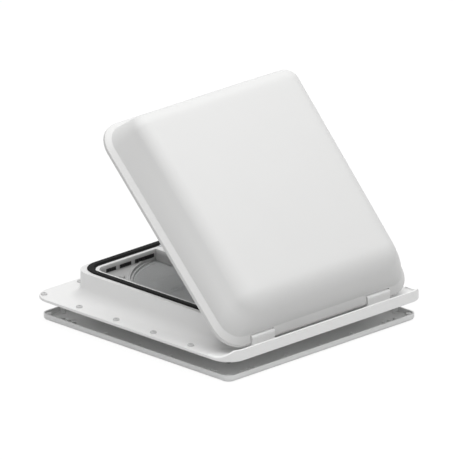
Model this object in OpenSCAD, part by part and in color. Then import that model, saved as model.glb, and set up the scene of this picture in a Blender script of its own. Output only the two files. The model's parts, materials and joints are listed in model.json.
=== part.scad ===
// Caravan roof vent for a square roof hole. A moulded roof frame carries a hinged dome lid, which a crank
// raises through a worm gear and a lift arm. A round insect net and an interior frame close it from below.
// Millimetres. z = 0 is the roof's outer skin, +X runs along the hinge, +Y from the hinge to the free edge.
// The lid is drawn open. Shut, its rim lies level with the hinge axis.

/* [Roof] */
// Side of the square hole in the roof
cutout = 280; // [272:1:300]
// Space for the roof between the flange and the interior frame
roof_gap = 22; // [20:1:26]

/* [Roof frame] */
// Play between the downstand and the roof hole, each side
cutout_clear = 2; // [1:0.5:4]
// Wall of the downstand
downstand_t = 2.5; // [2:0.5:3]
// Depth of the downstand below the roof skin
downstand_h = 16; // [12:1:18]
// How far the inner rim stands in from the inside of the downstand
rim_step = 5.5; // [5:0.5:7]
// Corner radius of the inner rim
rim_r = 16; // [12:1:20]
// How far the collar stands out from the downstand
collar_reach = 14; // [13:0.5:17]
// Corner radius of the collar's outer wall
collar_r = 28; // [24:1:36]
// Height of the collar's top above the roof
collar_h = 41; // [40:0.5:44]
// Wall of the collar
collar_t = 3; // [2.5:0.5:3.5]
// Thickness of the band along the collar's top
band_t = 6; // [5:0.5:7]
// Radius of the flare between the collar and the flange
flare_r = 16; // [12:1:18]
// How far the flange stands out from the collar
flange_reach = 40.5; // [38:0.5:46]
// Thickness of the flange
flange_t = 4; // [3.5:0.5:5]
// Corner radius of the flange
flange_r = 30; // [20:1:40]
// Depth of the corner decks below the rim
deck_drop = 13; // [12:0.5:15]
// Thickness of the corner decks
deck_t = 2.5; // [2:0.5:3]
// Height of the upstand along the hinge side
upstand_h = 16; // [14:0.5:18]
// Length of the sloping ends of the upstand
upstand_slope = 16; // [14:1:24]
// Wall of the upstand
upstand_t = 3; // [2.5:0.5:4]

/* [Seal] */
// Width of the seal
seal_w = 9.5; // [8:0.5:10]
// Depth of the seal's groove
seal_groove = 3.5; // [2.5:0.5:4]
// How far the seal stands above the rim
seal_proud = 2; // [1:0.5:3]

/* [Wall grilles] */
// Height of the ventilation windows
window_h = 5.5; // [4:0.5:5.5]
// Sill between the deck and the windows
window_sill = 1.5; // [1:0.5:2]
// Widths of the windows, from the corner to the bar
window_widths = [19, 22, 37]; // [15:1:40]
// Post between two windows
window_post = 7; // [5:0.5:9]
// Distance from the middle to the nearest window
window_start = 15.5; // [14:0.5:20]
// Pitch of the slats in a grille
slat_pitch = 4; // [3:0.5:6]

/* [Screws] */
// Pitch of the flange screws
flange_pitch = 72; // [60:1:76]
// Distance of the flange screws from the edge
flange_inset = 11.5; // [9:0.5:14]
// Radius of a flange screw's shank
flange_screw_r = 2.1; // [1.75:0.05:2.5]
// Length of a flange screw below the roof skin
flange_screw_l = 6; // [5:0.5:8]
// Radius of the small screws
small_screw_r = 1.5; // [1.25:0.05:1.6]
// Radius of the clamp screws
clamp_screw_r = 1.75; // [1.5:0.05:2.25]

/* [Hinge] */
// How far the hinge axis lies outside the collar
hinge_reach = 16; // [15.5:0.25:17]
// Height of the hinge axis above the flange
hinge_rise = 11; // [10.5:0.25:11.5]
// Distance of each hinge tab from the middle
tab_x = 111.5; // [95:0.5:114]
// Width of a hinge tab
tab_w = 43; // [35:1:46]
// Height of the tabs above the hinge axis
tab_top = 8; // [7:0.5:8.5]
// How far the tabs stand out in front of the hinge axis
tab_front = 11; // [10:0.5:11.5]
// Radius of the hinge pins
hinge_pin_r = 2.5; // [2:0.25:3]
// Thickness of the lid's hinge lugs
lug_t = 6; // [4:0.5:8]

/* [Lid] */
// Opening angle at rest, the widest
lid_open = 45.5; // [35:0.5:48]
// How far the lid reaches past the collar at the sides
lid_over = 29; // [28:0.5:31]
// How far the lid reaches past the collar at the free edge
lid_free = 31.6; // [30:0.2:34]
// How far the lid's brim reaches past the hinge axis
lid_lip = 13.4; // [13:0.1:14]
// Corner radius of the lid's rim
lid_r = 37; // [34:1:42]
// Wall of the lid
lid_t = 3; // [2:0.25:3.25]
// Height of the rim's upright edge
lid_edge = 4.5; // [4:0.5:5]
// Rise of the brim's slope
brim_rise = 5; // [4:0.5:6]
// Width of the brim at the sides and the free edge
brim_side = 8; // [7:0.5:9]
// Width of the brim at the hinge
brim_hinge = 10; // [9:0.5:11]
// Height of the dome's shoulder above the rim
dome_h = 58; // [57:0.5:60]
// Rise of the dome's crown above the shoulder
dome_crown = 3; // [2:0.5:5]
// Radius of the shoulder at the free edge
shoulder_r = 22.5; // [21:0.5:24]
// Distance of that shoulder's centre inside the dome's foot, at the sides
shoulder_in = 37.5; // [36:0.5:39]
// Distance of that shoulder's centre inside the dome's foot, at the free edge
shoulder_free = 26.5; // [26:0.5:29]
// Radius of the rounded end at the hinge
nose_r = 39; // [37:0.5:40]
// Distance of that round's centre inside the dome's foot, at the hinge
nose_in = 52.5; // [50:0.5:54]
// Distance of that round's centre inside the dome's foot, at the sides
nose_side = 50; // [47:0.5:52]
// Thickness of the lid frame's ring
ring_t = 3; // [2.5:0.5:4]
// Width of the spine and of the rail's flange
spine_w = 28; // [26:1:34]
// Thickness of the spine
spine_t = 5; // [4:0.5:5.5]

/* [Cross bar] */
// Width of the bar
bar_w = 25; // [25:0.5:30]
// Height of the bar
bar_h = 17; // [17:0.5:19]
// Wall of the bar
bar_t = 2.5; // [2:0.25:2.5]
// Floor of the bar
bar_floor = 1.5; // [1:0.25:1.75]
// Width of the end tabs
bar_tab_w = 18; // [14:1:24]
// Thickness of the end tabs
bar_tab_t = 2; // [1.5:0.5:2.5]
// Length of the bar's closed ends
bar_cap = 12; // [6:1:13]
// Length of the spindle tube under the bar
tube_l = 28; // [24:1:30]
// Outer radius of the spindle tube
tube_r = 7; // [6.5:0.25:8]

/* [Lift arm] */
// Distance of the arm's pivot from the middle, towards the hinge
pivot_back = 25; // [23:0.5:32]
// Depth of the pivot below the top of the bar
pivot_drop = 5; // [4.5:0.25:5.5]
// Radius of the arm's shaft
shaft_r = 3; // [2.5:0.25:3.25]
// Thickness of the arm's two plates
plate_t = 3; // [2:0.25:3]
// Gap between the plates
plate_gap = 11; // [11:0.25:11.5]
// Height of the plates
plate_h = 9.5; // [8:0.5:9.5]
// Radius of the roller
roller_r = 4.5; // [4:0.25:4.75]
// Radius of the roller's pin
roller_pin_r = 2; // [1.5:0.25:2.25]
// Slope of the rail with the lid shut
rail_slope = 6.8; // [6.6:0.1:6.9]
// Thickness of the rail's web
rail_web = 8; // [6:0.5:8.5]
// Height of the rail's web above and below its slot
rail_wall = 2.75; // [2.5:0.25:3]
// Thickness of the rail's flange
rail_flange = 2.5; // [2:0.25:3]

/* [Worm gear] */
// Module of the gear
gear_module = 1; // [0.9:0.05:1.05]
// Teeth of the wheel
wheel_teeth = 18; // [16:1:18]
// Pitch radius of the worm
worm_r = 5; // [4.75:0.25:5.5]
// Length of the worm
worm_l = 12; // [10:1:12]
// Width of the wheel's teeth
wheel_w = 4; // [3:0.5:5]

/* [Crank] */
// Radius of the spindle
spindle_r = 3; // [2.5:0.25:3.25]
// Radius of the knob
knob_r = 24; // [23:0.5:28]
// Height of the knob
knob_h = 16; // [16:0.5:18]
// Width of the handle
handle_w = 10; // [9:0.5:12]
// Thickness of the handle
handle_t = 6; // [5:0.5:6]
// Distance between the handle's pin and its peg
handle_l = 36; // [34:0.5:37]
// Radius of the peg
peg_r = 4.5; // [4:0.25:5]

/* [Insect net] */
// Width of the net frame's ring
net_ring_w = 6; // [5:0.5:8]
// Height of the net frame
net_ring_h = 3; // [2.5:0.5:3.5]
// Width of the net frame's ribs
net_rib_w = 3; // [2:0.5:5]
// Thickness of the net
net_t = 0.6; // [0.4:0.1:1]

/* [Interior frame] */
// How far the interior frame reaches past the roof hole
trim_reach = 43; // [38:1:46]
// Height of the interior frame's rim
trim_h = 9.5; // [9:0.5:12]
// Wall of the interior frame
trim_t = 2.5; // [2:0.25:3]
// Corner radius of the interior frame
trim_r = 12; // [10:1:18]
// Rounding of the rim's lower edge
trim_round = 5; // [3:0.5:5]
// Pitch of the single gussets
gusset_pitch = 63; // [50:1:63]
// Pitch of the gussets in a corner group
group_pitch = 11; // [8:1:12]
// Length of a gusset along the floor
gusset_l = 10.5; // [8:0.5:18]

/* [Hidden] */
$fn = 64;
eps = 0.01;

// Clearances
run_clear = 0.05;
slide_clear = 0.3;
swing_clear = 1;

// Half widths of the nested walls, from the roof hole outwards and inwards
downstand_half = cutout / 2 - cutout_clear;
duct_half = downstand_half - downstand_t;
rim_half = duct_half - rim_step;
groove_half = duct_half;
collar_half = downstand_half + collar_reach;
flange_half = collar_half + flange_reach;
flare_half = collar_half + flare_r;
corner_c = rim_half - rim_r;
collar_c = collar_half - collar_r;

// Heights
deck_z = collar_h - deck_drop;
bar_z = collar_h - bar_h;
tube_z = bar_z - tube_l;
groove_z = collar_h - seal_groove;
window_z = deck_z + window_sill;

// Hinge, lift arm and rail. The arm is as long as its pivot is from the hinge, so it turns twice as far
// as the lid and its roller stays on a straight line through the hinge.
hinge = [0, -(collar_half + hinge_reach), flange_t + hinge_rise];
pivot = [0, -pivot_back, collar_h - pivot_drop];
tilt = atan2(pivot[2] - hinge[2], pivot[1] - hinge[1]);
arm_l = norm(pivot - hinge);
arm_angle = 2 * (rail_slope + lid_open) - tilt;
slot_half = roller_r + slide_clear;
rail_half = slot_half + rail_wall;
rail_play = 3;
rail_from = 2 * arm_l * cos(rail_slope + lid_open - tilt) - rail_play;
rail_to = 2 * arm_l * cos(rail_slope - tilt) + rail_play;
roller_w = plate_gap - 1;

// Lid, seen shut
lid_half = collar_half + lid_over;
lid_front = hinge[1] - lid_lip;
lid_back = collar_half + lid_free;
foot_h = lid_edge + brim_rise;
foot_half = lid_half - brim_side;
foot_front = lid_front + brim_hinge;
foot_back = lid_back - brim_side;
foot_r = lid_r - brim_side;
ring_h = collar_h + seal_proud + slide_clear - hinge[2];
ring_top = ring_h + ring_t;
ring_in = rim_half;
lid_screw_at = corner_c + 6;
lug_r = 6;
tab_back = 8;

// Gear
circular_pitch = PI * gear_module;
wheel_r = gear_module * wheel_teeth / 2;
tooth_up = 0.9 * gear_module;
tooth_down = 1.2 * gear_module;
gear_a = wheel_r + worm_r;
spindle_at = [0, pivot[1] - gear_a, 0];
bush_wall = 1.5;
flange_neck_r = flange_screw_r + 0.25;
bush_flange = 1.5;
bush_flange_t = 0.8;
cover_h = 4.5;
cover_edge = 1.2;
web_t = 6;
worm_bottom = pivot[2] - worm_l / 2;

// Crank, below the tube
knob_top = tube_z - slide_clear;
knob_bottom = knob_top - knob_h;
handle_slot = 8;
handle_clear = 0.3;
handle_z = knob_bottom + handle_slot / 2 - 0.5;
handle_pin_r = 1.5;
handle_pin_at = 16;
peg_l = 7;
square_w = 4.2;

// Net and interior frame
deck_r = duct_half - 0.5;
net_r = deck_r - slide_clear;
net_top = bar_z - 1;
net_z = net_top - net_ring_h;
net_hub_r = tube_r + 1;
net_screw_at = (net_r + 12) / sqrt(2);
trim_half = cutout / 2 + trim_reach;
trim_top = -roof_gap;
trim_z = trim_top - trim_h;
spigot_half = duct_half - slide_clear;
spigot_top = -downstand_h + 9;
tray_z = trim_z + 3.5;
clamp_at = corner_c + 2.5;
clamp_boss_r = 5;
clamp_boss_z = 2;
net_boss_h = 3;

// Colours
white = [0.93, 0.93, 0.93];
pale = [0.82, 0.83, 0.83];
grey = [0.55, 0.57, 0.57];
black = [0.1, 0.1, 0.1];
steel = [0.7, 0.71, 0.73];

// Rounded rectangle from y0 to y1, as crossed squares and corner discs
module outline(half, y0, y1, r) {
    translate([-half + r, y0])
        square([2 * (half - r), y1 - y0]);
    translate([-half, y0 + r])
        square([2 * half, y1 - y0 - 2 * r]);
    for (x = [-half + r, half - r], y = [y0 + r, y1 - r])
        translate([x, y])
            circle(r);
}

// Rounded square about the middle
module rounded_square(half, r) {
    outline(half, -half, half, r);
}

// Sweeps a section round a rounded square. x = 0 of the section is the axis of the corner arcs.
module sweep_square(c) {
    for (k = [0:3])
        rotate([0, 0, 90 * k])
            translate([c, c, 0]) {
                rotate([90, 0, 0])
                    linear_extrude(2 * c)
                        children();
                rotate_extrude(angle = 90)
                    children();
            }
}

// Section from one half width and height to another, for sweeping about corners centred at c
module strip(half0, half1, z0, z1, c = corner_c) {
    translate([half0 - c, z0])
        square([half1 - half0, z1 - z0]);
}

// Copies at the four corners
module corners(at) {
    for (x = [-at, at], y = [-at, at])
        translate([x, y, 0])
            children();
}

// Round-headed screw, point down, with the underside of its head at z = 0
module screw(r, l, head_r, head_h) {
    cylinder(head_h, head_r, 0.7 * head_r);
    translate([0, 0, -l + r])
        cylinder(l - r + eps, r, r);
    translate([0, 0, -l])
        cylinder(r, 0.3 * r, r);
}

// Places what is drawn on the shut lid on the open one
module on_lid() {
    translate(hinge)
        rotate([lid_open, 0, 0])
            translate(-hinge)
                children();
}

// Draws along +Y from the hinge, in the line of the roller
module along_rail() {
    on_lid()
        translate(hinge)
            rotate([rail_slope, 0, 0])
                children();
}

// Draws along +Y from the arm's pivot
module along_arm() {
    translate(pivot)
        rotate([arm_angle, 0, 0])
            children();
}

// Extrudes a section in Y and Z along X, about the middle
module across(w) {
    rotate([90, 0, 90])
        linear_extrude(w, center = true)
            children();
}

// Places children at both hinge tabs
module at_tabs() {
    for (x = [-tab_x, tab_x])
        translate([x, 0, 0])
            children();
}

// Section of the seal's groove, the inner wall, the deck's step and the downstand
module rim_section() {
    difference() {
        strip(rim_half, groove_half + seal_w + collar_t / 2, collar_h - band_t, collar_h);
        strip(groove_half, groove_half + seal_w, groove_z, collar_h + 1);
    }
    strip(rim_half, rim_half + collar_t, deck_z - deck_t, collar_h);
    strip(rim_half, downstand_half, deck_z - deck_t, deck_z);
    strip(duct_half, downstand_half, -downstand_h, deck_z);
}

// Section of the collar's outer wall and its flare
module collar_section() {
    strip(collar_half - collar_t, collar_half, flange_t + flare_r, collar_h, collar_c);
    intersection() {
        strip(collar_half - collar_t, flare_half, 0, flange_t + flare_r, collar_c);
        translate([flare_half - collar_c, flange_t + flare_r])
            difference() {
                circle(flare_r + collar_t);
                circle(flare_r);
            }
    }
}

// Upstand along the hinge side, with sloping ends
module upstand() {
    intersection() {
        linear_extrude(upstand_h)
            difference() {
                rounded_square(flange_half, flange_r);
                rounded_square(flange_half - upstand_t, flange_r - upstand_t);
            }
        translate([0, -collar_half, 0])
            rotate([90, 0, 0])
                linear_extrude(flange_half)
                    polygon([
                        [-flange_half, 0],
                        [flange_half, 0],
                        [flange_half, flange_t],
                        [flange_half - upstand_slope, upstand_h],
                        [-flange_half + upstand_slope, upstand_h],
                        [-flange_half, flange_t]
                    ]);
    }
}

// Hinge tab on the flange, with the pin's bore
module hinge_tab() {
    tab_r = 3;
    front = hinge[1] - tab_front;
    depth = tab_front + tab_back;
    foot = flange_t - 1;
    top = hinge[2] + tab_top;
    difference() {
        across(tab_w) {
            translate([front, foot])
                square([depth, top - tab_r - foot]);
            translate([front + tab_r, foot])
                square([depth - 2 * tab_r, top - foot]);
            for (y = [front + tab_r, front + depth - tab_r])
                translate([y, top - tab_r])
                    circle(tab_r);
        }
        translate(hinge)
            rotate([0, 90, 0])
                cylinder(2 * tab_w, r = hinge_pin_r + run_clear, center = true);
    }
}

// Row of windows to one side of the bar, from the one nearest the bar outwards
function window_x(k) = k == 0 ? window_start : window_x(k - 1) + window_widths[3 - k] + window_post;

module at_windows() {
    for (side = [0, 1], k = [0:2])
        mirror([side, 0, 0])
            translate([window_x(k), rim_half, window_z])
                let ($window_w = window_widths[2 - k])
                    children();
}

// Places of the flange screws: two sides, the free edge and its corners
function flange_rows() = [
    for (s = [-1, 1], k = [-1.5:1:1.5]) [s * (flange_half - flange_inset), k * flange_pitch],
    for (k = [-1.5:1:1.5]) [k * flange_pitch, flange_half - flange_inset],
    for (s = [-1, 1]) [s, 1] * (flange_half - flange_inset - 2)
];

// Recess for an end tab of the bar, and the hole for its screw
module bar_seat() {
    translate([-bar_tab_w / 2, rim_half - 1, collar_h - bar_tab_t])
        cube([bar_tab_w, groove_half - rim_half - 0.5 + 1, 2 * bar_tab_t]);
    translate([0, bar_screw_y(), collar_h - 8])
        cylinder(20, r = small_screw_r);
}

function bar_screw_y() = rim_half + 2.6;

module roof_frame() {
    color(white)
        difference() {
            union() {
                sweep_square(corner_c)
                    rim_section();
                sweep_square(collar_c)
                    collar_section();
                translate([0, 0, collar_h - band_t])
                    linear_extrude(band_t)
                        difference() {
                            rounded_square(collar_half, collar_r);
                            rounded_square(groove_half + seal_w, groove_half + seal_w - corner_c);
                        }
                linear_extrude(flange_t)
                    difference() {
                        rounded_square(flange_half, flange_r);
                        rounded_square(flare_half, flare_half - collar_c);
                    }
                upstand();
                at_tabs()
                    hinge_tab();
                corner_decks();
                for (k = [0, 180])
                    rotate([0, 0, k])
                        translate([-bar_tab_w / 2, rim_half, deck_z])
                            cube([bar_tab_w, rim_step, collar_h - band_t - deck_z + 1]);
            }
            for (k = [0, 180])
                rotate([0, 0, k])
                    bar_seat();
            at_windows()
                translate([0, -1, 0])
                    cube([$window_w, collar_t + 2, window_h]);
            for (p = flange_rows())
                translate([p[0], p[1], -1])
                    cylinder(flange_t + 2, r = flange_neck_r + run_clear);
            corners(clamp_at)
                translate([0, 0, clamp_boss_z - 1])
                    cylinder(deck_z - deck_t - clamp_boss_z, r = clamp_screw_r + run_clear);
            corners(net_screw_at)
                translate([0, 0, deck_z - deck_t - 1])
                    cylinder(net_boss_h + deck_t, r = small_screw_r);
        }
}

// Corner decks round the circular opening, with a bead along the arc and bosses below
module corner_decks() {
    bead = 2.5;
    translate([0, 0, deck_z - deck_t])
        linear_extrude(deck_t)
            difference() {
                rounded_square(duct_half + downstand_t / 2, duct_half - corner_c + downstand_t / 2);
                circle(deck_r);
            }
    intersection() {
        translate([0, 0, deck_z - 1])
            linear_extrude(1 + deck_t / 2)
                difference() {
                    circle(deck_r + bead);
                    circle(deck_r);
                }
        linear_extrude(collar_h)
            rounded_square(rim_half + 1, rim_r + 1);
    }
    corners(clamp_at)
        translate([0, 0, clamp_boss_z])
            cylinder(deck_z - deck_t / 2 - clamp_boss_z, r = clamp_boss_r);
    corners(net_screw_at)
        translate([0, 0, deck_z - 1])
            cylinder(net_boss_h + 1, r = 4);
}

// Seal with a round back, in the groove
module rim_seal() {
    lip_r = seal_proud;
    color(black)
        sweep_square(corner_c)
            difference() {
                union() {
                    strip(groove_half, groove_half + seal_w, groove_z, collar_h);
                    strip(groove_half + lip_r, groove_half + seal_w - lip_r, groove_z, collar_h + lip_r);
                    for (u = [groove_half + lip_r, groove_half + seal_w - lip_r])
                        translate([u - corner_c, collar_h])
                            circle(lip_r);
                }
                strip(groove_half - 1, groove_half + seal_w + 1, groove_z - 2 * lip_r, groove_z);
            }
}

// Slatted grille for each window
module wall_grilles() {
    slat = slat_pitch / 2;
    color(black)
        at_windows() {
            slots = floor(($window_w - slat) / slat_pitch);
            start = ($window_w - slots * slat_pitch + slat) / 2;
            difference() {
                cube([$window_w, collar_t, window_h]);
                for (k = [0:slots - 1])
                    translate([start + k * slat_pitch, -1, 1])
                        cube([slat, collar_t + 2, window_h - 2]);
            }
        }
}

// Screws with a thicker neck through the flange
module flange_screws() {
    color(white)
        for (p = flange_rows())
            translate([p[0], p[1], 0]) {
                screw(flange_screw_r, flange_screw_l, flange_neck_r, flange_t);
                cylinder(flange_t + eps, r = flange_neck_r);
                translate([0, 0, flange_t])
                    cylinder(1.1 * flange_screw_r, 2.2 * flange_screw_r, 1.5 * flange_screw_r);
            }
}

// Open channel across the opening, with the gear's web and the spindle tube
module cross_bar() {
    bar_end = rim_half - 0.2;
    color(white)
        difference() {
            union() {
                difference() {
                    translate([-bar_w / 2, -bar_end, bar_z])
                        cube([bar_w, 2 * bar_end, bar_h]);
                    translate([-bar_w / 2 + bar_t, -bar_end + bar_t, bar_z + bar_floor])
                        cube([bar_w - 2 * bar_t, 2 * (bar_end - bar_t), bar_h]);
                }
                for (k = [0, 180])
                    rotate([0, 0, k])
                        translate([-bar_tab_w / 2, bar_end - 1, collar_h - bar_tab_t])
                            cube([bar_tab_w, groove_half - 0.5 - bar_end + 1, bar_tab_t]);
                translate([-bar_w / 2 + 1, spindle_at[1] - gear_web(), bar_z + 1])
                    cube([bar_w - 2, web_t, bar_h - 1]);
                for (y = [-bar_end + 1, bar_end - bar_cap])
                    translate([-bar_w / 2 + 1, y, collar_h - bar_floor])
                        cube([bar_w - 2, bar_cap - 1, bar_floor]);
                translate([0, spindle_at[1], tube_z])
                    cylinder(tube_l + 1, r = tube_r);
            }
            for (k = [0, 180])
                rotate([0, 0, k])
                    translate([0, bar_screw_y(), 0])
                        cylinder(2 * collar_h, r = small_screw_r + run_clear);
            translate(pivot)
                rotate([0, 90, 0])
                    cylinder(2 * bar_w, r = shaft_r + bush_wall, center = true);
            translate([0, spindle_at[1], tube_z - 1])
                cylinder(tube_l + 2 * bar_floor, r = spindle_r + bush_wall);
            at_cover_screws()
                translate([0, 0, -8])
                    cylinder(9, r = small_screw_r);
        }
}

// The gear's web lies behind the worm
function gear_web() = worm_r + tooth_up + cover_edge + web_t;

module at_cover_screws() {
    for (x = [-1, 1])
        translate([x * (bar_w / 2 - bar_t - 3), spindle_at[1] - gear_web() + web_t / 2, collar_h])
            children();
}

module bar_screws() {
    color(steel)
        for (k = [0, 180])
            rotate([0, 0, k])
                translate([0, bar_screw_y(), collar_h])
                    screw(small_screw_r, 7.5, 1.6 * small_screw_r, small_screw_r);
}

// Cap over the worm, with the spindle's upper bearing
module gear_cover() {
    back = gear_web();
    front = worm_r + tooth_up;
    color(white)
        difference() {
            translate([-bar_w / 2, spindle_at[1] - back, collar_h])
                cube([bar_w, back + front, cover_h]);
            translate([0, spindle_at[1], collar_h - 1])
                cylinder(worm_bottom + worm_l - collar_h + 1.5, r = worm_r + tooth_up + 0.5);
            translate([0, spindle_at[1], collar_h - 1])
                cylinder(cover_h + 1 - 0.8, r = spindle_r + run_clear);
            at_cover_screws()
                cylinder(2 * cover_h, r = small_screw_r + run_clear, center = true);
            at_cover_screws()
                translate([0, 0, cover_h - 1.6])
                    cylinder(cover_h, r = 2 * small_screw_r);
        }
}

module cover_screws() {
    color(steel)
        at_cover_screws()
            translate([0, 0, cover_h - 1.6])
                screw(small_screw_r, 8, 1.8 * small_screw_r, 0.9 * small_screw_r);
}

// Flanged bush with its flange on the +Z end
module bush(bore, l) {
    difference() {
        union() {
            cylinder(l, r = bore + bush_wall);
            translate([0, 0, l])
                cylinder(bush_flange_t, r = bore + bush_wall + bush_flange);
        }
        translate([0, 0, -1])
            cylinder(l + 4, r = bore + run_clear);
    }
}

module shaft_bushes() {
    color(grey)
        for (side = [0, 1])
            translate(pivot)
                mirror([side, 0, 0])
                    translate([bar_w / 2, 0, 0])
                        rotate([0, -90, 0])
                            bush(shaft_r, bar_t);
}

module spindle_bush() {
    color(grey)
        translate([0, spindle_at[1], tube_z])
            bush(spindle_r, tube_l + bar_floor);
}

// Ring that closes against the decks, hub, ribs and ears that hold the net
module net_frame() {
    ear_r = 6;
    hub_w = 4;
    color(pale)
        difference() {
            union() {
                translate([0, 0, net_z])
                    linear_extrude(net_ring_h - net_t) {
                        difference() {
                            circle(net_r);
                            circle(net_r - net_ring_w);
                        }
                        translate([0, spindle_at[1]])
                            circle(net_hub_r + hub_w);
                        intersection() {
                            circle(net_r - 1);
                            union() {
                                square([net_rib_w, 2 * net_r], center = true);
                                translate([0, spindle_at[1]])
                                    square([2 * net_r, net_rib_w], center = true);
                            }
                        }
                    }
                translate([0, 0, net_z])
                    linear_extrude(deck_z - deck_t - net_z)
                        difference() {
                            circle(net_r);
                            circle(net_r - net_ring_w / 2);
                        }
                for (a = [45:90:315])
                    rotate([0, 0, a])
                        translate([0, 0, net_top - net_ring_h / 2])
                            linear_extrude(deck_z - deck_t - net_top + net_ring_h / 2) {
                                translate([net_r - net_ring_w / 2 + 0.5, -ear_r])
                                    square([net_screw_at * sqrt(2) - net_r + net_ring_w / 2 - 0.5, 2 * ear_r]);
                                translate([net_screw_at * sqrt(2), 0])
                                    circle(ear_r);
                            }
            }
            corners(net_screw_at)
                cylinder(2 * collar_h, r = small_screw_r + run_clear);
            translate([0, spindle_at[1], net_z - 1])
                cylinder(2 * net_ring_h, r = net_hub_r);
        }
}

// Woven net on the frame's ribs
module insect_net() {
    color(grey)
        translate([0, 0, net_top - net_t])
            linear_extrude(net_t)
                difference() {
                    circle(net_r - net_ring_w / 2);
                    translate([0, spindle_at[1]])
                        circle(net_hub_r);
                }
}

module net_screws() {
    color(steel)
        corners(net_screw_at)
            translate([0, 0, net_top - net_ring_h / 2])
                mirror([0, 0, 1])
                    screw(small_screw_r, deck_z - net_top + net_ring_h / 2 + 1, 2 * small_screw_r, small_screw_r);
}

// Gussets along one side of the interior frame's rim
function gusset_places() = concat(
    [-gusset_pitch, 0, gusset_pitch],
    [for (s = [-1, 1], k = [0:2]) s * (trim_half - 36 - k * group_pitch)]
);

module gusset() {
    gusset_t = 1.6;
    gusset_top = trim_h - trim_t - 0.8;
    translate([-gusset_t / 2, -trim_half + trim_t - 0.2, trim_z + trim_t - 0.2])
        rotate([90, 0, 90])
            linear_extrude(gusset_t)
                polygon([
                    [0, 0],
                    [gusset_l, 0],
                    [gusset_l, gusset_top - gusset_t],
                    [gusset_l - gusset_t, gusset_top],
                    [0, gusset_top]
                ]);
}

// Open tray with a rounded rim, a spigot that slides into the downstand, and corner plates
module interior_frame() {
    pad_at = trim_half - trim_r + 3;
    color(pale)
        difference() {
            union() {
                sweep_square(trim_half - trim_r)
                    intersection() {
                        translate([trim_r - trim_round, trim_z])
                            square([trim_round, trim_h]);
                        difference() {
                            union() {
                                translate([trim_r - trim_round, trim_z + trim_round])
                                    square([trim_round, trim_h]);
                                translate([trim_r - trim_round, trim_z + trim_round])
                                    circle(trim_round);
                            }
                            translate([trim_r - trim_round - trim_t, trim_z + trim_t])
                                square([trim_round, trim_h]);
                        }
                    }
                translate([0, 0, trim_z])
                    linear_extrude(trim_t)
                        difference() {
                            rounded_square(trim_half - trim_round, trim_r - trim_round);
                            rounded_square(spigot_half - trim_t, spigot_half - trim_t - corner_c);
                        }
                sweep_square(corner_c)
                    strip(spigot_half - trim_t, spigot_half, trim_z, spigot_top);
                translate([0, 0, tray_z])
                    linear_extrude(trim_t)
                        difference() {
                            rounded_square(spigot_half - 1, spigot_half - 1 - corner_c);
                            circle(spigot_half - trim_t - 0.2);
                        }
                for (side = [0:3], x = gusset_places())
                    rotate([0, 0, 90 * side])
                        translate([x, 0, 0])
                            gusset();
                corners(pad_at)
                    translate([0, 0, trim_z + trim_t / 2])
                        cylinder(trim_h - trim_t, r = 4);
            }
            corners(clamp_at)
                translate([0, 0, trim_z - 1])
                    cylinder(2 * trim_h, r = clamp_screw_r + run_clear);
        }
}

module clamp_screws() {
    head_h = 2;
    color(steel)
        corners(clamp_at)
            translate([0, 0, tray_z])
                mirror([0, 0, 1])
                    screw(clamp_screw_r, clamp_boss_z + 14 - tray_z, 2.2 * clamp_screw_r, head_h);
}

// Rim and brim, then dome, of the lid seen shut, drawn in by an inset
module lid_block(inset) {
    drop = inset > 0 ? 1 : 0;
    translate([0, 0, hinge[2]]) {
        hull() {
            translate([0, 0, -drop])
                linear_extrude(lid_edge + drop)
                    outline(lid_half - inset, lid_front + inset, lid_back - inset, lid_r - inset, $fn = 48);
            translate([0, 0, foot_h - eps])
                linear_extrude(eps)
                    dome_foot(inset);
        }
        intersection() {
            translate([-lid_half, lid_front, foot_h - 2 * eps])
                cube([2 * lid_half, lid_back - lid_front, 2 * dome_h]);
            hull() {
                translate([0, 0, foot_h - 2 * eps])
                    linear_extrude(2 * eps)
                        dome_foot(inset);
                for (s = [-1, 1]) {
                    translate([s * (foot_half - shoulder_in), foot_back - shoulder_free, dome_h - shoulder_r])
                        sphere(shoulder_r - inset, $fn = 40);
                    translate([s * (foot_half - nose_side), foot_front + nose_in, dome_h - nose_r])
                        sphere(nose_r - inset, $fn = 48);
                }
                translate([0, 0, dome_h + dome_crown - inset])
                    scale([1, 1, 0.08])
                        translate([0, 0, -foot_half / 2])
                            sphere(foot_half / 2, $fn = 40);
            }
        }
    }
}

module dome_foot(inset) {
    outline(foot_half - inset, foot_front + inset, foot_back - inset, foot_r - inset, $fn = 48);
}

// Both lugs beside each hinge tab
module at_lugs() {
    at_tabs()
        for (s = [-1, 1])
            translate([s * (tab_w / 2 + swing_clear + lug_t / 2), 0, 0])
                children();
}

// What a hinge tab sweeps, seen from the lid
module tab_sweep() {
    steps = 5;
    for (k = [0:steps])
        translate(hinge)
            rotate([-k * lid_open / steps, 0, 0])
                translate([-tab_w / 2 - swing_clear, -tab_front - swing_clear, -hinge_rise - swing_clear])
                    cube([
                        tab_w + 2 * swing_clear,
                        tab_front + tab_back + 2 * swing_clear,
                        hinge_rise + tab_top + 2 * swing_clear
                    ]);
}

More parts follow.
